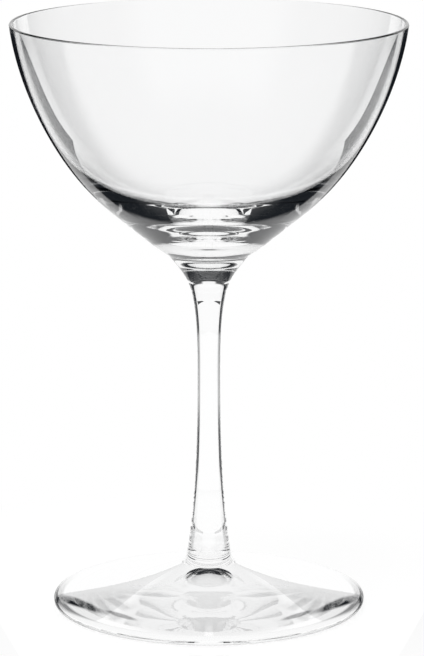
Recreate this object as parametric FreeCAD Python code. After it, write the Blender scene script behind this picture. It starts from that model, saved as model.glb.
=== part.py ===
import FreeCAD, Part
import math
import os

# Stemmed cocktail glass with a coupe bowl, in millimetres.
# +Z points up, the foot rests on the plane z = 0 and the axis of the glass is the Z axis.
# It is three gathers of clear crystal joined while hot: the blown bowl with its thick solid
# base, the drawn solid stem and the foot. Each is a closed solid of revolution, and they meet
# face to face on two flat discs, with nothing overlapping.
#
# Each profile is a chain of cubic Bezier curves and arcs in the XZ half plane. A curve is set
# by its two ends, its direction at each end and how far it holds that direction (its reach).
# Angles lean out from the upright axis and are in degrees. The foot, the stem and the bowl
# stand on each other, so each one's heights are measured from where it is joined below.

os.makedirs("parts", exist_ok=True)

# ---------------------------------------------------------------- joints between the pieces
STEM_END_RADIUS = 7.5         # stem to foot
NECK_RADIUS = 8.8             # bowl to stem
NECK_ANGLE = 37.9             # lean of the outline as it passes from the bowl to the stem

# ---------------------------------------------------------------- foot
FOOT_RADIUS = 43.85
FOOT_HEIGHT = 11.6            # from the ground to the stem's end
FOOT_EDGE_THICKNESS = 2.7     # the edge is a full round
FOOT_EDGE_ANGLE = 82.0        # lean of the top surface beside the edge
FOOT_EDGE_REACH = 10.5
FOOT_CENTRE_ANGLE = 69.0      # lean of the top surface beside the stem
FOOT_CENTRE_REACH = 10.7
REST_RING_WIDTH = 4.5         # flat ring that the glass stands on
HOLLOW_DEPTH = 6.4            # rise of the underside at the centre
HOLLOW_EDGE_ANGLE = 84.6
HOLLOW_EDGE_REACH = 22.5
HOLLOW_CENTRE_REACH = 4.6

# ---------------------------------------------------------------- stem
STEM_LENGTH = 85.4            # from the foot to the bowl
WAIST_RADIUS = 3.15           # thinnest place of the stem
WAIST_HEIGHT = 56.1
WAIST_REACH_ABOVE = 21.3
WAIST_REACH_BELOW = 26.2
NECK_REACH_BELOW = 5.9
ANKLE_RADIUS = 5.9            # where the stem begins to flare out to the foot
ANKLE_HEIGHT = 4.4
ANKLE_ANGLE = 8.0
ANKLE_REACH_ABOVE = 12.0
ANKLE_REACH_BELOW = 2.0
STEM_END_ANGLE = 42.0
STEM_END_REACH = 1.6

# ---------------------------------------------------------------- bowl, outside
BOWL_HEIGHT = 67.8            # from the neck to the rim
RIM_RADIUS = 54.8
RIM_ANGLE = 7.2
RIM_REACH = 19.0
CONE_RADIUS = 28.0            # where the round side turns into the straight cone below it
CONE_HEIGHT = 16.2
CONE_ANGLE = 50.6
CONE_REACH = 17.0
CONE_LENGTH = 14.75           # straight run of the cone, down to the turn into the neck
TURN_REACH = 8.0
NECK_REACH_ABOVE = 6.0

# ---------------------------------------------------------------- bowl, inside
RIM_THICKNESS = 0.95          # the lip is a full round
WALL_REACH = 13.6             # how far the wall below the rim holds its lean
HEEL_PLACE = 0.878            # where on the round side the wall begins to thicken, as a share
HEEL_THICKNESS = 2.42         # wall at the heel
HEEL_TAPER = 9.6              # lean of the inside beyond that of the outside at the heel
HEEL_REACH_ABOVE = 15.2
HEEL_REACH_BELOW = 21.8
BASE_THICKNESS = 11.8         # solid glass above the neck, on the axis
FLOOR_REACH = 6.5


def point(radius, height):
    """Point of the profile plane."""
    return FreeCAD.Vector(radius, 0.0, height)


def leaning(angle):
    """Unit direction that leans out from the upright axis by an angle."""
    turn = math.radians(angle)
    return point(math.sin(turn), math.cos(turn))


def curve(start, leave, arrive, end):
    """Cubic curve from start to end; leave and arrive are a direction times its reach."""
    bezier = Part.BezierCurve()
    bezier.setPoles([start, start + leave, end - arrive, end])
    return bezier


def line(start, end):
    """Straight part of a profile."""
    return Part.LineSegment(start, end)


def arc(start, middle, end):
    """Circular part of a profile, through three points."""
    return Part.Arc(start, middle, end)


def turned(profile):
    """Closed solid made by turning a closed profile about the Z axis."""
    face = Part.Face(Part.Wire([part.toShape() for part in profile]))
    solid = face.revolve(point(0, 0), FreeCAD.Vector(0, 0, 1), 360)
    if solid.Volume < 0:
        solid.reverse()
    return solid


def make_foot():
    """Foot: a low cone with a round edge, a flat rest ring and a hollow underside."""
    seat_centre = point(0, FOOT_HEIGHT)
    seat_edge = point(STEM_END_RADIUS, FOOT_HEIGHT)
    round_radius = FOOT_EDGE_THICKNESS / 2
    round_centre = point(FOOT_RADIUS - round_radius, round_radius)
    edge_top = round_centre + leaning(90 - FOOT_EDGE_ANGLE) * round_radius
    edge_side = round_centre + point(round_radius, 0)
    edge_bottom = round_centre - point(0, round_radius)
    ring_inner = edge_bottom - point(REST_RING_WIDTH, 0)
    hollow_top = point(0, HOLLOW_DEPTH)
    profile = [
        line(seat_centre, seat_edge),
        curve(seat_edge, leaning(180 - FOOT_CENTRE_ANGLE) * FOOT_CENTRE_REACH,
              leaning(180 - FOOT_EDGE_ANGLE) * FOOT_EDGE_REACH, edge_top),
        arc(edge_top, edge_side, edge_bottom),
        line(edge_bottom, ring_inner),
        curve(ring_inner, leaning(-HOLLOW_EDGE_ANGLE) * HOLLOW_EDGE_REACH,
              leaning(-90) * HOLLOW_CENTRE_REACH, hollow_top),
        line(hollow_top, seat_centre),
    ]
    return turned(profile)


def make_stem():
    """Solid drawn stem: flared top, slim waist and a flared end on the foot."""
    foot = FOOT_HEIGHT
    neck = point(NECK_RADIUS, foot + STEM_LENGTH)
    neck_centre = point(0, foot + STEM_LENGTH)
    waist = point(WAIST_RADIUS, foot + WAIST_HEIGHT)
    ankle = point(ANKLE_RADIUS, foot + ANKLE_HEIGHT)
    end = point(STEM_END_RADIUS, foot)
    end_centre = point(0, foot)
    profile = [
        curve(neck, leaning(180 + NECK_ANGLE) * NECK_REACH_BELOW,
              leaning(180) * WAIST_REACH_ABOVE, waist),
        curve(waist, leaning(180) * WAIST_REACH_BELOW,
              leaning(180 - ANKLE_ANGLE) * ANKLE_REACH_ABOVE, ankle),
        curve(ankle, leaning(180 - ANKLE_ANGLE) * ANKLE_REACH_BELOW,
              leaning(180 - STEM_END_ANGLE) * STEM_END_REACH, end),
        line(end, end_centre),
        line(end_centre, neck_centre),
        line(neck_centre, neck),
    ]
    return turned(profile)


def make_bowl():
    """Blown bowl: thin wall, rounded lip and a solid base that ends in the neck."""
    base = FOOT_HEIGHT + STEM_LENGTH
    lip = RIM_THICKNESS / 2
    rim_height = base + BOWL_HEIGHT
    rim_outer = point(RIM_RADIUS, rim_height - lip)
    rim_top = point(RIM_RADIUS - lip, rim_height)
    rim_inner = point(RIM_RADIUS - RIM_THICKNESS, rim_height - lip)
    cone_top = point(CONE_RADIUS, base + CONE_HEIGHT)
    cone_end = cone_top - leaning(CONE_ANGLE) * CONE_LENGTH
    neck = point(NECK_RADIUS, base)
    neck_centre = point(0, base)
    side = curve(rim_outer, leaning(180 + RIM_ANGLE) * RIM_REACH,
                 leaning(180 + CONE_ANGLE) * CONE_REACH, cone_top)

    # The inside leaves the outside's lean at the heel and runs flat across the axis.
    side_lean = 180 - math.degrees(side.tangent(HEEL_PLACE)[0].getAngle(point(0, 1)))
    heel = side.value(HEEL_PLACE) + leaning(side_lean - 90) * HEEL_THICKNESS
    heel_lean = side_lean + HEEL_TAPER
    floor = point(0, base + BASE_THICKNESS)
    profile = [
        side,
        line(cone_top, cone_end),
        curve(cone_end, leaning(180 + CONE_ANGLE) * TURN_REACH,
              leaning(180 + NECK_ANGLE) * NECK_REACH_ABOVE, neck),
        line(neck, neck_centre),
        line(neck_centre, floor),
        curve(floor, leaning(90) * FLOOR_REACH, leaning(heel_lean) * HEEL_REACH_BELOW, heel),
        curve(heel, leaning(heel_lean) * HEEL_REACH_ABOVE,
              leaning(RIM_ANGLE) * WALL_REACH, rim_inner),
        arc(rim_inner, rim_top, rim_outer),
    ]
    return turned(profile)


PIECES = {
    "bowl": make_bowl(),
    "stem": make_stem(),
    "foot": make_foot(),
}

for name, shape in PIECES.items():
    shape.exportStep("parts/" + name + ".step")
    box = shape.optimalBoundingBox()
    print(name, shape.ShapeType, "valid", shape.isValid(), "volume mm3 %.0f" % shape.Volume,
          "radius %.2f" % box.XMax, "z %.2f to %.2f" % (box.ZMin, box.ZMax))
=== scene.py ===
"""Studio scene of a stemmed cocktail glass: clear crystal bowl, stem and foot on a white table."""

import logging
import math
from dataclasses import dataclass
from typing import Any, Mapping, Sequence

import bpy
import numpy as np
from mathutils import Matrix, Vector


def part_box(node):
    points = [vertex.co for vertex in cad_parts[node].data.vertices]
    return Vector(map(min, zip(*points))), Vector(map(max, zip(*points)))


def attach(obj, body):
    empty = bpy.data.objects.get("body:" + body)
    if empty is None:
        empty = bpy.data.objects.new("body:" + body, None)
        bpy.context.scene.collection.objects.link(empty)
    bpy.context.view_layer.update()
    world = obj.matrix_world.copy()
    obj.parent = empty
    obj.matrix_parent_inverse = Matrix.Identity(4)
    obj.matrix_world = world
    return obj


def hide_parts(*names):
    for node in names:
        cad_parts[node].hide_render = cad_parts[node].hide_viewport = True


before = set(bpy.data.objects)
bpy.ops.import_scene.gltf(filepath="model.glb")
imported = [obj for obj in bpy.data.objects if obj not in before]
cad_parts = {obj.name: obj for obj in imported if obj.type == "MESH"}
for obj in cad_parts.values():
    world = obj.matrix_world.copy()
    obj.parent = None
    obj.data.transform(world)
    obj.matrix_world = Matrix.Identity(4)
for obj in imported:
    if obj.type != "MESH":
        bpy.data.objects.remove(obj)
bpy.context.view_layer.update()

log = logging.getLogger("glass")

Number = float | int
Colour = tuple[float, float, float, float]

MM = 0.001                    # metres in a millimetre
CRYSTAL, JOINT = 0, 1         # places of the two materials in a piece's list
CREASE_ANGLE = 28.0           # degrees between two faces beyond which their edge stays sharp
BOUNCES = 32                  # how often light may pass or turn at a surface
GLOSSY_BOUNCES = 24


#  shader maths
class Wire:
    """A shader socket that Python expressions can use: each operation adds a Math node."""

    def __init__(self, graph: "Graph", socket: bpy.types.NodeSocket) -> None:
        """Wrap a socket.

        Args:
            graph: The graph that new nodes go to.
            socket: The output socket to read.
        """
        self.graph = graph
        self.socket = socket

    def _math(self, operation: str, *values: "Wire | Number") -> "Wire":
        """Return the result of a Math node on the values."""
        settings = {"operation": operation}
        return self.graph.node("ShaderNodeMath", settings, dict(enumerate(values)))[0]

    def __add__(self, other: "Wire | Number") -> "Wire":
        """Sum."""
        return self._math("ADD", self, other)

    def __sub__(self, other: "Wire | Number") -> "Wire":
        """Difference."""
        return self._math("SUBTRACT", self, other)

    def __mul__(self, other: "Wire | Number") -> "Wire":
        """Product."""
        return self._math("MULTIPLY", self, other)

    def __truediv__(self, other: "Wire | Number") -> "Wire":
        """Quotient."""
        return self._math("DIVIDE", self, other)

    def __rsub__(self, other: Number) -> "Wire":
        """Difference with the number on the left."""
        return self._math("SUBTRACT", other, self)

    def __abs__(self) -> "Wire":
        """Size without the sign."""
        return self._math("ABSOLUTE", self)

    def root(self) -> "Wire":
        """Square root."""
        return self._math("SQRT", self)

    def most(self, other: "Wire | Number") -> "Wire":
        """The larger of the two."""
        return self._math("MAXIMUM", self, other)

    def bearing(self, ahead: "Wire") -> "Wire":
        """Angle in radians whose tangent is this over ahead, in the full circle."""
        return self._math("ARCTAN2", self, ahead)

    def ramp(self, start: Number, end: Number) -> "Wire":
        """Smooth step that is 0 at start and 1 at end.

        Args:
            start: Value that gives 0.
            end: Value that gives 1; it may be below start.

        Returns:
            The step, from 0 to 1.
        """
        settings = {"interpolation_type": "SMOOTHSTEP", "clamp": True}
        values = {"Value": self, "From Min": start, "From Max": end, "To Min": 0.0, "To Max": 1.0}
        return self.graph.node("ShaderNodeMapRange", settings, values)[0]


class Graph:
    """The node tree of a material or of the world."""

    def __init__(self, owner: Any) -> None:
        """Empty the owner's node tree and keep it.

        Args:
            owner: A material, or the world.
        """
        owner.use_nodes = True
        self.tree = owner.node_tree
        self.tree.nodes.clear()

    def node(self, kind: str, settings: Mapping[str, Any] | None = None,
             values: Mapping[Any, Any] | None = None) -> Sequence[Wire]:
        """Add one node.

        Args:
            kind: The node's type.
            settings: Its own properties, which are set first.
            values: A number, colour or Wire for each input, by name or index.

        Returns:
            The node's enabled outputs, as Wires.
        """
        made = self.tree.nodes.new(kind)
        for name, value in (settings or {}).items():
            setattr(made, name, value)
        for name, value in (values or {}).items():
            if isinstance(value, Wire):
                self.tree.links.new(value.socket, made.inputs[name])
            else:
                made.inputs[name].default_value = value
        return [Wire(self, socket) for socket in made.outputs if socket.enabled]

    def blend(self, share: Wire | Number, first: Any, second: Any) -> Wire:
        """Mix two colours.

        Args:
            share: How much of the second there is.
            first: Colour or Wire at 0.
            second: Colour or Wire at 1.

        Returns:
            The mixed colour.
        """
        return self.node("ShaderNodeMix", {"data_type": "RGBA"}, {0: share, 6: first, 7: second})[0]

    def rays(self) -> tuple[Wire, Wire]:
        """Return whether the ray is the camera's, and whether the glass has bent or turned it."""
        light = self.tree.nodes.new("ShaderNodeLightPath").outputs
        camera = Wire(self, light["Is Camera Ray"])
        glossy = Wire(self, light["Is Glossy Ray"])
        return camera, glossy.most(Wire(self, light["Is Transmission Ray"]))

    def place(self) -> tuple[Wire, Wire, Wire]:
        """Return the X, Y and Z of the shaded point in the object's own frame."""
        coordinates = self.tree.nodes.new("ShaderNodeTexCoord").outputs["Object"]
        x, y, z = self.node("ShaderNodeSeparateXYZ", None, {0: Wire(self, coordinates)})
        return x, y, z


#  finishes
@dataclass(frozen=True)
class Crystal:
    """Clear fire-polished crystal.

    The surface is smooth, with a slow ripple left by blowing and tooling. The ripple is drawn out
    along the axis by one over ripple_stretch. The tint varies as a faint cloud between tint and
    tint to the power of cloud_depth.
    """

    name: str
    tint: tuple[float, float, float] = (0.997, 0.998, 0.999)
    index: float = 1.52
    roughness: float = 0.0
    ripple_length: float = 18.0 * MM
    ripple_height: float = 0.01 * MM
    ripple_stretch: float = 0.45
    ripple_detail: float = 1.0
    ripple_roughness: float = 0.4
    cloud_scale: float = 22.0
    cloud_detail: float = 2.0
    cloud_depth: float = 1.5

    def material(self) -> bpy.types.Material:
        """Build the material."""
        made = bpy.data.materials.new(self.name)
        graph = Graph(made)
        x, y, z = graph.place()
        stretched = graph.node("ShaderNodeCombineXYZ", None,
                               {0: x, 1: y, 2: z * self.ripple_stretch})[0]
        ripple = graph.node("ShaderNodeTexNoise", {"noise_dimensions": "3D"},
                            {"Vector": stretched, "Scale": 1.0 / self.ripple_length,
                             "Detail": self.ripple_detail,
                             "Roughness": self.ripple_roughness})[0]
        bump = graph.node("ShaderNodeBump", None,
                          {"Strength": 1.0, "Distance": self.ripple_height, "Height": ripple})[0]
        cloud = graph.node("ShaderNodeTexNoise", {"noise_dimensions": "3D"},
                           {"Vector": stretched, "Scale": self.cloud_scale,
                            "Detail": self.cloud_detail})[0]
        deep = (part ** self.cloud_depth for part in self.tint)
        colour = graph.blend(cloud, (*self.tint, 1.0), (*deep, 1.0))
        shader = graph.node("ShaderNodeBsdfPrincipled", None,
                            {"Base Color": colour, "Roughness": self.roughness, "IOR": self.index,
                             "Transmission Weight": 1.0, "Normal": bump})[0]
        graph.node("ShaderNodeOutputMaterial", None, {"Surface": shader})
        return made


@dataclass(frozen=True)
class FusedJoint:
    """The disc inside the crystal where two gathers are fused: there is no surface to see."""

    name: str

    def material(self) -> bpy.types.Material:
        """Build the material."""
        made = bpy.data.materials.new(self.name)
        graph = Graph(made)
        shader = graph.node("ShaderNodeBsdfPrincipled", None, {"Alpha": 0.0, "Roughness": 0.0})[0]
        graph.node("ShaderNodeOutputMaterial", None, {"Surface": shader})
        return made


#  profiles
def leaning(angle: float) -> np.ndarray:
    """Return the unit direction (radius, height) that leans out from upright by an angle.

    Args:
        angle: Degrees from straight up; 90 points away from the axis and 180 points down.

    Returns:
        The direction: sine of the angle outwards, cosine of the angle upwards.
    """
    turn = math.radians(angle)
    return np.array([math.sin(turn), math.cos(turn)])


def curve(start: np.ndarray, leave: np.ndarray, arrive: np.ndarray, end: np.ndarray,
          count: int) -> np.ndarray:
    """Return points along a cubic Bezier curve.

    The point at t is (1-t)^3 start + 3(1-t)^2 t (start+leave) + 3(1-t) t^2 (end-arrive) + t^3 end.
    The steps in t shrink towards both ends, as the halved cosine does.

    Args:
        start: First point.
        leave: Direction times reach at the start.
        arrive: Direction times reach at the end.
        end: Last point.
        count: How many points, with both ends.

    Returns:
        An array of count points (radius, height).
    """
    t = ((1 - np.cos(np.linspace(0, math.pi, count))) / 2)[:, None]
    return ((1 - t) ** 3 * start + 3 * (1 - t) ** 2 * t * (start + leave)
            + 3 * (1 - t) * t ** 2 * (end - arrive) + t ** 3 * end)


def tangent(start: np.ndarray, leave: np.ndarray, arrive: np.ndarray, end: np.ndarray,
            t: float) -> tuple[np.ndarray, float]:
    """Return the point of a cubic Bezier curve at t and its lean there.

    Args:
        start: First point.
        leave: Direction times reach at the start.
        arrive: Direction times reach at the end.
        end: Last point.
        t: Place along the curve, from 0 to 1.

    Returns:
        The point, and the lean of the upward tangent in degrees.
    """
    first, second = start + leave, end - arrive
    place = ((1 - t) ** 3 * start + 3 * (1 - t) ** 2 * t * first
             + 3 * (1 - t) * t ** 2 * second + t ** 3 * end)
    slope = ((1 - t) ** 2 * (first - start) + 2 * (1 - t) * t * (second - first)
             + t ** 2 * (end - second))
    return place, math.degrees(math.atan2(-slope[0], -slope[1]))


def straight(start: np.ndarray, end: np.ndarray, count: int) -> np.ndarray:
    """Return evenly spaced points of a straight line.

    Args:
        start: First point.
        end: Last point.
        count: How many points, with both ends.

    Returns:
        An array of count points (radius, height).
    """
    return start + (end - start) * np.linspace(0, 1, count)[:, None]


def rounded(centre: np.ndarray, radius: float, first: float, last: float,
            count: int) -> np.ndarray:
    """Return points on a circle: centre + radius (sine, cosine) of the angle from upright.

    Args:
        centre: Centre (radius, height).
        radius: Radius of the circle.
        first: Angle of the first point, in degrees.
        last: Angle of the last point.
        count: How many points.

    Returns:
        An array of points (radius, height).
    """
    turn = np.radians(np.linspace(first, last, count))[:, None]
    return centre + radius * np.hstack([np.sin(turn), np.cos(turn)])


def turned(name: str, runs: Sequence[tuple[np.ndarray, int]], around: int,
           materials: Sequence[bpy.types.Material]) -> bpy.types.Object:
    """Turn a profile about the Z axis into a closed mesh.

    The profile starts and ends on the axis. Ring i, column j stands at
    (r_i cos a_j, r_i sin a_j, z_i) with a_j = 2 pi j / around; quads join neighbouring rings,
    and fans of triangles close the two poles. Edges between runs at a corner stay sharp.

    Args:
        name: Name of the object.
        runs: Each stretch of the profile with its material's place, in order.
        around: Number of columns.
        materials: The materials.

    Returns:
        The new object, linked to the scene.
    """
    points = np.vstack([run if k == 0 else run[1:] for k, (run, _) in enumerate(runs)])
    skins = np.concatenate([np.full(len(run) - 1, skin) for run, skin in runs])
    rings = points[1:-1]
    angles = np.linspace(0, 2 * math.pi, around, endpoint=False)
    grid = np.stack([rings[:, :1] * np.cos(angles), rings[:, :1] * np.sin(angles),
                     np.repeat(rings[:, 1:], around, axis=1)], axis=-1)
    poles = np.array([[0, 0, points[0, 1]], [0, 0, points[-1, 1]]])
    vertices = np.vstack([poles, grid.reshape(-1, 3)])

    column = np.arange(around)
    following = (column + 1) % around
    base = 2 + np.arange(len(rings) - 1)[:, None] * around
    quads = np.stack([base + column, base + following, base + around + following,
                      base + around + column], axis=-1).reshape(-1, 4)
    last = 2 + (len(rings) - 1) * around
    top = np.stack([np.zeros(around, int), 2 + following, 2 + column], axis=-1)
    bottom = np.stack([np.ones(around, int), last + column, last + following], axis=-1)

    corners = np.concatenate([top.ravel(), bottom.ravel(), quads.ravel()])
    sizes = np.concatenate([np.full(2 * around, 3), np.full(len(quads), 4)])
    starts = np.concatenate([[0], np.cumsum(sizes)[:-1]])
    skin_of_face = np.concatenate([np.full(around, skins[0]), np.full(around, skins[-1]),
                                   np.repeat(skins[1:-1], around)])
    clockwise = signed_area(points) < 0
    mesh = bpy.data.meshes.new(name)
    mesh.vertices.add(len(vertices))
    mesh.vertices.foreach_set("co", vertices.astype(np.float32).ravel())
    mesh.loops.add(len(corners))
    mesh.loops.foreach_set("vertex_index", corners.astype(np.int32))
    mesh.polygons.add(len(sizes))
    mesh.polygons.foreach_set("loop_start", starts.astype(np.int32))
    mesh.polygons.foreach_set("material_index", skin_of_face.astype(np.int32))
    mesh.update(calc_edges=True)
    if clockwise:
        mesh.flip_normals()
    for material in materials:
        mesh.materials.append(material)
    mesh.shade_smooth()
    mesh.set_sharp_from_angle(angle=math.radians(CREASE_ANGLE))
    mesh.validate()
    made = bpy.data.objects.new(name, mesh)
    bpy.context.scene.collection.objects.link(made)
    return made


def signed_area(points: np.ndarray) -> float:
    """Return the area inside a closed chain of points, with the sign of its turning sense.

    It is half the sum of the cross products of neighbouring points.

    Args:
        points: The chain (radius, height); its last point joins its first.

    Returns:
        The area, which is negative where the chain runs clockwise.
    """
    after = np.roll(points, -1, axis=0)
    return float(np.sum(points[:, 0] * after[:, 1] - after[:, 0] * points[:, 1]) / 2)


def on_profile(radius: float, height: float) -> np.ndarray:
    """Return a point of the profile plane.

    Args:
        radius: Distance from the axis.
        height: Height above the table.

    Returns:
        The array (radius, height).
    """
    return np.array([radius, height])


#  pieces
@dataclass
class Foot:
    """The round foot: a low cone with a round edge and a hollow underside."""

    low: float
    high: float
    radius: float
    stem_radius: float = 7.5 * MM
    edge_thickness: float = 2.7 * MM
    edge_angle: float = 82.0
    edge_reach: float = 10.5 * MM
    centre_angle: float = 69.0
    centre_reach: float = 10.7 * MM
    ring_width: float = 4.5 * MM
    hollow_depth: float = 6.4 * MM
    hollow_edge_angle: float = 84.6
    hollow_edge_reach: float = 22.5 * MM
    hollow_centre_reach: float = 4.6 * MM
    around: int = 320
    round_points: int = 40
    slope_points: int = 90
    flat_points: int = 5
    seat_points: int = 3

    def build(self, materials: Sequence[bpy.types.Material]) -> bpy.types.Object:
        """Make the foot.

        Args:
            materials: Crystal first, then the fused joint.

        Returns:
            The foot.
        """
        edge = self.edge_thickness / 2
        round_centre = on_profile(self.radius - edge, self.low + edge)
        rounding = rounded(round_centre, edge, 90 - self.edge_angle, 180, self.round_points)
        seat = on_profile(self.stem_radius, self.high)
        ring_outer = rounding[-1]
        ring_inner = ring_outer - on_profile(self.ring_width, 0)
        hollow = on_profile(0, self.low + self.hollow_depth)
        top = curve(seat, leaning(180 - self.centre_angle) * self.centre_reach,
                    leaning(180 - self.edge_angle) * self.edge_reach, rounding[0],
                    self.slope_points)
        under = curve(ring_inner, leaning(-self.hollow_edge_angle) * self.hollow_edge_reach,
                      leaning(-90) * self.hollow_centre_reach, hollow, self.slope_points)
        runs = [
            (straight(on_profile(0, self.high), seat, self.seat_points), JOINT),
            (top, CRYSTAL),
            (rounding, CRYSTAL),
            (straight(ring_outer, ring_inner, self.flat_points), CRYSTAL),
            (under, CRYSTAL),
        ]
        return turned("crystal_foot", runs, self.around, materials)


@dataclass
class Stem:
    """The solid drawn stem, flared at both ends."""

    low: float
    high: float
    neck_radius: float = 8.8 * MM
    neck_angle: float = 37.9
    neck_reach: float = 5.9 * MM
    waist_radius: float = 3.15 * MM
    waist_rise: float = 56.1 * MM
    waist_reach_above: float = 21.3 * MM
    waist_reach_below: float = 26.2 * MM
    ankle_radius: float = 5.9 * MM
    ankle_rise: float = 4.4 * MM
    ankle_angle: float = 8.0
    ankle_reach_above: float = 12.0 * MM
    ankle_reach_below: float = 2.0 * MM
    end_radius: float = 7.5 * MM
    end_angle: float = 42.0
    end_reach: float = 1.6 * MM
    around: int = 160
    side_points: int = 110
    flare_points: int = 30
    seat_points: int = 3

    def build(self, materials: Sequence[bpy.types.Material]) -> bpy.types.Object:
        """Make the stem.

        Args:
            materials: Crystal first, then the fused joint.

        Returns:
            The stem.
        """
        neck = on_profile(self.neck_radius, self.high)
        waist = on_profile(self.waist_radius, self.low + self.waist_rise)
        ankle = on_profile(self.ankle_radius, self.low + self.ankle_rise)
        end = on_profile(self.end_radius, self.low)
        upper = curve(neck, leaning(180 + self.neck_angle) * self.neck_reach,
                      leaning(180) * self.waist_reach_above, waist, self.side_points)
        lower = curve(waist, leaning(180) * self.waist_reach_below,
                      leaning(180 - self.ankle_angle) * self.ankle_reach_above, ankle,
                      self.side_points)
        flare = curve(ankle, leaning(180 - self.ankle_angle) * self.ankle_reach_below,
                      leaning(180 - self.end_angle) * self.end_reach, end, self.flare_points)
        runs = [
            (straight(on_profile(0, self.high), neck, self.seat_points), JOINT),
            (upper, CRYSTAL),
            (lower, CRYSTAL),
            (flare, CRYSTAL),
            (straight(end, on_profile(0, self.low), self.seat_points), JOINT),
        ]
        return turned("crystal_stem", runs, self.around, materials)


@dataclass
class Bowl:
    """The blown bowl: thin wall, rounded lip and a thick solid base that ends in the neck."""

    low: float
    high: float
    radius: float
    neck_radius: float = 8.8 * MM
    neck_angle: float = 37.9
    neck_reach: float = 6.0 * MM
    turn_reach: float = 8.0 * MM
    cone_radius: float = 28.0 * MM
    cone_rise: float = 16.2 * MM
    cone_angle: float = 50.6
    cone_reach: float = 17.0 * MM
    cone_length: float = 14.75 * MM
    rim_angle: float = 7.2
    rim_reach: float = 19.0 * MM
    rim_thickness: float = 0.95 * MM
    wall_reach: float = 13.6 * MM
    heel_place: float = 0.878
    heel_thickness: float = 2.42 * MM
    heel_taper: float = 9.6
    heel_reach_above: float = 15.2 * MM
    heel_reach_below: float = 21.8 * MM
    base_thickness: float = 11.8 * MM
    floor_reach: float = 6.5 * MM
    around: int = 320
    inside_points: int = 70
    lip_points: int = 17
    side_points: int = 90
    cone_points: int = 6
    turn_points: int = 40
    seat_points: int = 3

    def build(self, materials: Sequence[bpy.types.Material]) -> bpy.types.Object:
        """Make the bowl.

        Args:
            materials: Crystal first, then the fused joint.

        Returns:
            The bowl.
        """
        lip = self.rim_thickness / 2
        rim_outer = on_profile(self.radius, self.high - lip)
        rim_inner = on_profile(self.radius - self.rim_thickness, self.high - lip)
        cone_top = on_profile(self.cone_radius, self.low + self.cone_rise)
        cone_end = cone_top - leaning(self.cone_angle) * self.cone_length
        neck = on_profile(self.neck_radius, self.low)
        side = (rim_outer, leaning(180 + self.rim_angle) * self.rim_reach,
                leaning(180 + self.cone_angle) * self.cone_reach, cone_top)
        place, lean = tangent(*side, self.heel_place)
        heel = place + leaning(lean - 90) * self.heel_thickness
        heel_lean = lean + self.heel_taper
        floor = on_profile(0, self.low + self.base_thickness)
        hollow = curve(floor, leaning(90) * self.floor_reach,
                       leaning(heel_lean) * self.heel_reach_below, heel, self.inside_points)
        wall = curve(heel, leaning(heel_lean) * self.heel_reach_above,
                     leaning(self.rim_angle) * self.wall_reach, rim_inner, self.inside_points)
        turn = curve(cone_end, leaning(180 + self.cone_angle) * self.turn_reach,
                     leaning(180 + self.neck_angle) * self.neck_reach, neck, self.turn_points)
        runs = [
            (hollow, CRYSTAL),
            (wall, CRYSTAL),
            (rounded((rim_inner + rim_outer) / 2, lip, -90, 90, self.lip_points), CRYSTAL),
            (curve(*side, self.side_points), CRYSTAL),
            (straight(cone_top, cone_end, self.cone_points), CRYSTAL),
            (turn, CRYSTAL),
            (straight(neck, on_profile(0, self.low), self.seat_points), JOINT),
        ]
        return turned("crystal_bowl", runs, self.around, materials)


#  studio
@dataclass(frozen=True)
class Window:
    """A lit panel in the distance: it fills a range of bearings from the ground to a height.

    Bearings are in degrees from the +Y direction, the same on both sides. Heights are in degrees
    above the horizon.
    """

    bearing: float
    half_width: float
    side_softness: float
    top: float
    top_softness: float
    level: float

    def cover(self, turn: Wire, rise: Wire) -> Wire:
        """Return how bright the panel is in a direction.

        Args:
            turn: Bearing of the direction, in degrees.
            rise: Height of the direction as a share of its length.

        Returns:
            The brightness, from 0 to level.
        """
        outer = self.half_width + self.side_softness
        inner = self.half_width - self.side_softness
        high = math.sin(math.radians(self.top + self.top_softness))
        low = math.sin(math.radians(self.top - self.top_softness))
        aside = abs(turn - self.bearing)
        return aside.ramp(outer, inner) * rise.ramp(high, low) * self.level


@dataclass(frozen=True)
class PaintedShadowSpot:
    """A painted shadow: a soft dark oval on the paper, at each side of the glass.

    It is slanted: its middle moves aside by slant for each metre along +Y. It fades out from
    fade_inner to fade_outer, as shares of its half sizes.
    """

    aside: float
    ahead: float
    half_width: float
    half_length: float
    slant: float
    depth: float
    fade_inner: float = 0.6
    fade_outer: float = 1.3

    def cover(self, aside: Wire, ahead: Wire) -> Wire:
        """Return how dark the painted shadow makes the paper at a place.

        Args:
            aside: Distance from the middle, on either side.
            ahead: Distance along +Y.

        Returns:
            The darkness, from 0 to depth.
        """
        offset = ahead - self.ahead
        across = (aside - self.aside - offset * self.slant) / self.half_width
        along = offset / self.half_length
        reach = (across * across + along * along).root()
        return reach.ramp(self.fade_outer, self.fade_inner) * self.depth


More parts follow.
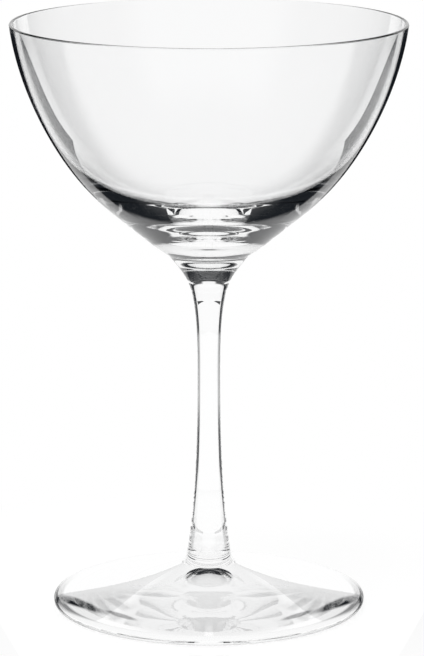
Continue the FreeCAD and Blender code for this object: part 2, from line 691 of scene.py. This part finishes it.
@dataclass
class Studio:
    """White paper on a table with dark flags round it, for the light that the crystal bends.

    The paper is a strip that widens behind the glass, a broad sheet in front of it and a disc
    under the foot. Painted shadow darkens it beside the middle of the strip a little way behind
    the glass, and paints a dark ring and a few dark ovals that draw the edge of the foot. Two arms
    and two far side papers light the bowl when it is looked through from the side. Two dark flags
    hang level beside the strip: the bowl looks down on them, and the stem and the foot look out
    below them to a wide fan of paper. Lit windows stand in the distance, with dark between them.
    """

    strip_half: float = 0.178
    strip_bend: float = 0.10
    strip_far: float = 0.50
    strip_spread: float = 0.20
    strip_softness: float = 0.008
    sheet_half: float = 0.62
    sheet_softness: float = 0.06
    sheet_back: float = 0.03
    # painted shadow of the glass: it darkens the strip beside its middle, a little way behind the
    # glass
    painted_glass_shadow_level: float = 0.60
    painted_glass_shadow_aside: tuple[float, float] = (0.025, 0.060)
    painted_glass_shadow_near: tuple[float, float] = (0.070, 0.095)
    painted_glass_shadow_far: tuple[float, float] = (0.20, 0.14)
    fan_slope: float = 0.9
    flag_height: float = 0.090
    flag_near: float = 0.055
    flag_far: float = 0.9
    flag_half: float = 0.066
    flag_bend: float = 0.037
    flag_turn: float = 0.185
    flag_spread: float = 0.2
    flag_slope: float = 0.72
    flag_points: int = 120
    arm_half: float = 0.09
    arm_softness: float = 0.05
    arm_start: float = 0.20
    arm_start_softness: float = 0.04
    arm_end: float = 0.55
    arm_end_softness: float = 0.10
    arm_level: float = 0.50
    side_slope: float = 0.16
    side_start: float = 1.2
    side_start_softness: float = 0.2
    side_softness: float = 0.05
    side_level: float = 0.45
    # painted contact shadow: a dark ring on the paper at the foot's edge, in front of the glass;
    # ring_radius also bounds the white disc under the foot
    ring_inner: float = 0.0405
    ring_radius: float = 0.0455
    ring_softness: float = 0.001
    painted_ring_shadow_level: float = 0.30
    painted_ring_shadow_back: float = 0.02
    # painted shadow: dark ovals on the paper at both sides of the foot's edge
    painted_shadow_spots: tuple[PaintedShadowSpot, ...] = (
        PaintedShadowSpot(0.0364, -0.0100, 0.0032, 0.0095, 0.75, 1.0),
        PaintedShadowSpot(0.0240, -0.0205, 0.0022, 0.0046, 0.75, 0.8),
    )
    windows: tuple[Window, ...] = (
        Window(0.0, 42.0, 2.0, 24.0, 3.0, 1.0),
        Window(0.0, 14.0, 4.0, 32.0, 2.0, 1.0),
        Window(180.0, 48.4, 15.0, 46.3, 12.0, 0.44),
        Window(90.0, 7.0, 3.0, 3.5, 1.5, 0.45),
    )
    white: Colour = (1.0, 1.0, 1.0, 1.0)
    shade: Colour = (0.010, 0.012, 0.015, 1.0)
    cloth: Colour = (0.9, 0.9, 0.9, 1.0)
    overhead_level: float = 0.03
    overhead_rise: tuple[float, float] = (0.6, 0.95)
    mirror_share: float = 0.06
    shadow_share: float = 0.10
    near_radius: float = 0.12
    near_inner: float = 0.6
    table_half: float = 30.0
    lamp_size: tuple[float, float] = (0.9, 0.6)
    lamp_energy: float = 12.0
    lamp_place: tuple[float, float, float] = (-0.25, -0.35, 1.3)
    lamp_turn: tuple[float, float] = (15.0, -11.0)

    def world(self) -> None:
        """Light the room: white to the camera, lit panels with dark between them to the glass."""
        world = bpy.data.worlds.new("studio_room")
        bpy.context.scene.world = world
        graph = Graph(world)
        facing = Wire(graph, graph.tree.nodes.new("ShaderNodeTexCoord").outputs["Generated"])
        x, y, z = graph.node("ShaderNodeSeparateXYZ", None, {0: facing})
        turn = abs(x.bearing(y)) * math.degrees(1.0)
        lit = z.ramp(*self.overhead_rise) * self.overhead_level
        for window in self.windows:
            lit = lit.most(window.cover(turn, z))
        seen = graph.blend(lit, self.shade, self.white)
        camera, optical = graph.rays()
        room = graph.blend(optical, self.white, seen)
        colour = graph.blend(camera, room, self.white)
        background = graph.node("ShaderNodeBackground", None, {"Color": colour, "Strength": 1.0})[0]
        graph.node("ShaderNodeOutputWorld", None, {"Surface": background})

    def strip(self, x: Wire, y: Wire) -> Wire:
        """Return the cover of the strip behind the glass, which narrows towards the foot.

        Its half width is strip_half times y / (y + strip_bend), and beyond strip_far it grows by
        strip_spread for each metre.

        Args:
            x: Distance to the right on the table.
            y: Distance to the back on the table.

        Returns:
            1 on the strip and 0 beside it.
        """
        behind = y.most(0.0)
        half = (behind / (behind + self.strip_bend) * self.strip_half
                + (y - self.strip_far).most(0.0) * self.strip_spread)
        return (abs(x) - half).ramp(self.strip_softness, -self.strip_softness)

    def paper(self, x: Wire, y: Wire) -> Wire:
        """Return how white the table is for the glass, from 0 to 1.

        Besides the strip there are a wide fan that lies under the flags, the sheet in front of the
        glass, the arms, the side papers and the disc under the foot. Painted shadow darkens the
        strip beside its middle a little way behind the glass, and paints a dark ring and a few dark
        ovals at the edge of the foot.

        Args:
            x: Distance to the right on the table.
            y: Distance to the back on the table.

        Returns:
            The whiteness.
        """
        away = (x * x + y * y).root()
        fan = (abs(x) - y * self.fan_slope).ramp(self.strip_softness, -self.strip_softness)
        # painted shadow of the glass, which darkens the strip beside its middle a little way behind
        # the glass
        painted_glass_shadow = (abs(x).ramp(*self.painted_glass_shadow_aside) * y.ramp(*self.painted_glass_shadow_near) * y.ramp(*self.painted_glass_shadow_far)
               * self.painted_glass_shadow_level)
        beside = abs(x) - self.sheet_half
        sheet = (beside.ramp(self.sheet_softness, -self.sheet_softness)
                 * y.ramp(self.sheet_back, -self.sheet_back))
        diagonal = (abs(x) - y) * math.sqrt(0.5)
        arms = (abs(diagonal).ramp(self.arm_half + self.arm_softness,
                                   self.arm_half - self.arm_softness)
                * away.ramp(self.arm_start - self.arm_start_softness,
                            self.arm_start + self.arm_start_softness)
                * away.ramp(self.arm_end + self.arm_end_softness,
                            self.arm_end - self.arm_end_softness) * self.arm_level)
        side = ((abs(y) - abs(x) * self.side_slope).ramp(self.side_softness, -self.side_softness)
                * away.ramp(self.side_start - self.side_start_softness,
                            self.side_start + self.side_start_softness) * self.side_level)
        under = away.ramp(self.ring_radius, self.ring_radius - self.ring_softness)
        paper = (self.strip(x, y) * (1.0 - painted_glass_shadow)).most(fan).most(sheet)
        paper = paper.most(arms).most(side).most(under)
        # painted contact shadow: a dark ring at the edge of the foot, in front of the glass
        ring = (away.ramp(self.ring_inner, self.ring_inner + self.ring_softness)
                * y.ramp(self.painted_ring_shadow_back, 0.0))
        shaded = under * ring * (1.0 - self.painted_ring_shadow_level)
        # painted shadow: dark ovals at the edge of the foot
        for painted_shadow_spot in self.painted_shadow_spots:
            shaded = shaded.most(painted_shadow_spot.cover(abs(x), y))
        return paper * (1.0 - shaded)

    def table(self) -> bpy.types.Object:
        """Make the table top: white to the camera, and the paper on dark to the glass.

        Near the foot the camera also sees a little of the glass's shadow and mirror image.

        Returns:
            The table, linked to the scene.
        """
        size = self.table_half
        mesh = bpy.data.meshes.new("table_paper")
        corners = [(-size, -size, 0), (size, -size, 0), (size, size, 0), (-size, size, 0)]
        mesh.from_pydata(corners, [], [(0, 1, 2, 3)])
        made = bpy.data.objects.new("table_paper", mesh)
        bpy.context.scene.collection.objects.link(made)
        material = bpy.data.materials.new("table_paper")
        graph = Graph(material)
        x, y, _ = graph.place()
        seen = graph.blend(self.paper(x, y), self.shade, self.white)
        camera, _ = graph.rays()
        colour = graph.blend(camera, seen, self.white)
        glow = graph.node("ShaderNodeEmission", None, {"Color": colour, "Strength": 1.0})[0]
        mirror = graph.node("ShaderNodeBsdfGlossy", None,
                            {"Color": self.white, "Roughness": 0.0})[0]
        cloth = graph.node("ShaderNodeBsdfDiffuse", None, {"Color": self.cloth})[0]
        away = (x * x + y * y).root()
        near = away.ramp(self.near_radius, self.near_radius * self.near_inner)
        first = graph.node("ShaderNodeMixShader", None,
                           {0: near * camera * self.shadow_share, 1: glow, 2: cloth})[0]
        second = graph.node("ShaderNodeMixShader", None,
                            {0: near * camera * self.mirror_share, 1: first, 2: mirror})[0]
        graph.node("ShaderNodeOutputMaterial", None, {"Surface": second})
        mesh.materials.append(material)
        return made

    def flags(self) -> bpy.types.Object:
        """Hang the two dark flags, at flag_height over the table.

        They reach from flag_near to flag_far behind the glass. The inner edge lies at flag_half
        times y / (y + flag_bend), and beyond flag_turn it goes out by flag_spread for each metre.
        The outer edge lies at flag_slope times y, and the two edges meet at flag_near.

        Returns:
            The flags as one object, linked to the scene. The camera doesn't see them.
        """
        y = np.linspace(self.flag_near, self.flag_far, self.flag_points)
        inner = (self.flag_half * y / (y + self.flag_bend)
                 + self.flag_spread * np.maximum(y - self.flag_turn, 0.0))
        outer = self.flag_slope * y
        edges = [(side * edge, y, np.full_like(y, self.flag_height))
                 for side in (1, -1) for edge in (inner, outer)]
        vertices = np.vstack([np.stack(edge, axis=-1) for edge in edges])
        first = np.arange(self.flag_points - 1)
        row = np.stack([first, first + 1, first + 1 + self.flag_points,
                        first + self.flag_points], axis=-1)
        faces = np.vstack([row, row + 2 * self.flag_points])
        mesh = bpy.data.meshes.new("dark_flags")
        mesh.from_pydata(vertices.tolist(), [], faces.tolist())
        made = bpy.data.objects.new("dark_flags", mesh)
        bpy.context.scene.collection.objects.link(made)
        material = bpy.data.materials.new("dark_flags")
        graph = Graph(material)
        cloth = graph.node("ShaderNodeEmission", None, {"Color": self.shade, "Strength": 1.0})[0]
        graph.node("ShaderNodeOutputMaterial", None, {"Surface": cloth})
        mesh.materials.append(material)
        made.visible_camera = False
        made.visible_diffuse = False
        made.visible_shadow = False
        return made

    def lamp(self) -> None:
        """Hang one large soft lamp over the glass."""
        data = bpy.data.lights.new("soft_box", "AREA")
        data.shape = "RECTANGLE"
        data.size, data.size_y = self.lamp_size
        data.energy = self.lamp_energy
        made = bpy.data.objects.new("soft_box", data)
        made.location = self.lamp_place
        made.rotation_euler = (*(math.radians(turn) for turn in self.lamp_turn), 0)
        made.visible_glossy = False
        made.visible_transmission = False
        bpy.context.scene.collection.objects.link(made)


@dataclass
class Camera:
    """The camera: on the -Y side, looking slightly down through a long lens."""

    distance: float = 0.9682
    height: float = 0.2871
    tilt: float = 12.127
    lens: float = 194.8
    shift: float = 0.0047
    sensor: float = 36.0
    nearest: float = 0.01
    farthest: float = 100.0

    def place(self) -> None:
        """Put the camera in the scene."""
        data = bpy.data.cameras.new("camera")
        data.sensor_width = self.sensor
        data.lens = self.lens
        data.shift_x = self.shift
        data.clip_start = self.nearest
        data.clip_end = self.farthest
        made = bpy.data.objects.new("camera", data)
        made.location = (0, -self.distance, self.height)
        made.rotation_euler = (math.radians(90 - self.tilt), 0, 0)
        bpy.context.scene.collection.objects.link(made)
        bpy.context.scene.camera = made


def main() -> None:
    """Build the glass and its studio, and report each piece."""
    logging.basicConfig(level=logging.INFO, format="%(name)s: %(message)s")
    scene = bpy.context.scene
    scene.view_settings.view_transform = "Standard"
    scene.cycles.max_bounces = BOUNCES
    scene.cycles.glossy_bounces = GLOSSY_BOUNCES
    scene.cycles.transmission_bounces = BOUNCES
    scene.cycles.transparent_max_bounces = BOUNCES

    Camera().place()
    studio = Studio()
    studio.world()
    studio.lamp()
    studio.table()
    studio.flags()

    joint = FusedJoint("fused_joint").material()
    foot_low, foot_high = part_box("foot")
    bowl_low, bowl_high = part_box("bowl")
    pieces = {
        "bowl": Bowl(bowl_low[2], bowl_high[2], bowl_high[0]),
        "stem": Stem(foot_high[2], bowl_low[2]),
        "foot": Foot(foot_low[2], foot_high[2], foot_high[0]),
    }
    for node, piece in pieces.items():
        slot = node + "_crystal"
        made = piece.build([Crystal(slot).material(), joint])
        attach(made, "root")
        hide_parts(node)
        log.info("%s stands for %s with %d faces", made.name, node, len(made.data.polygons))


if __name__ == "__main__":
    main()
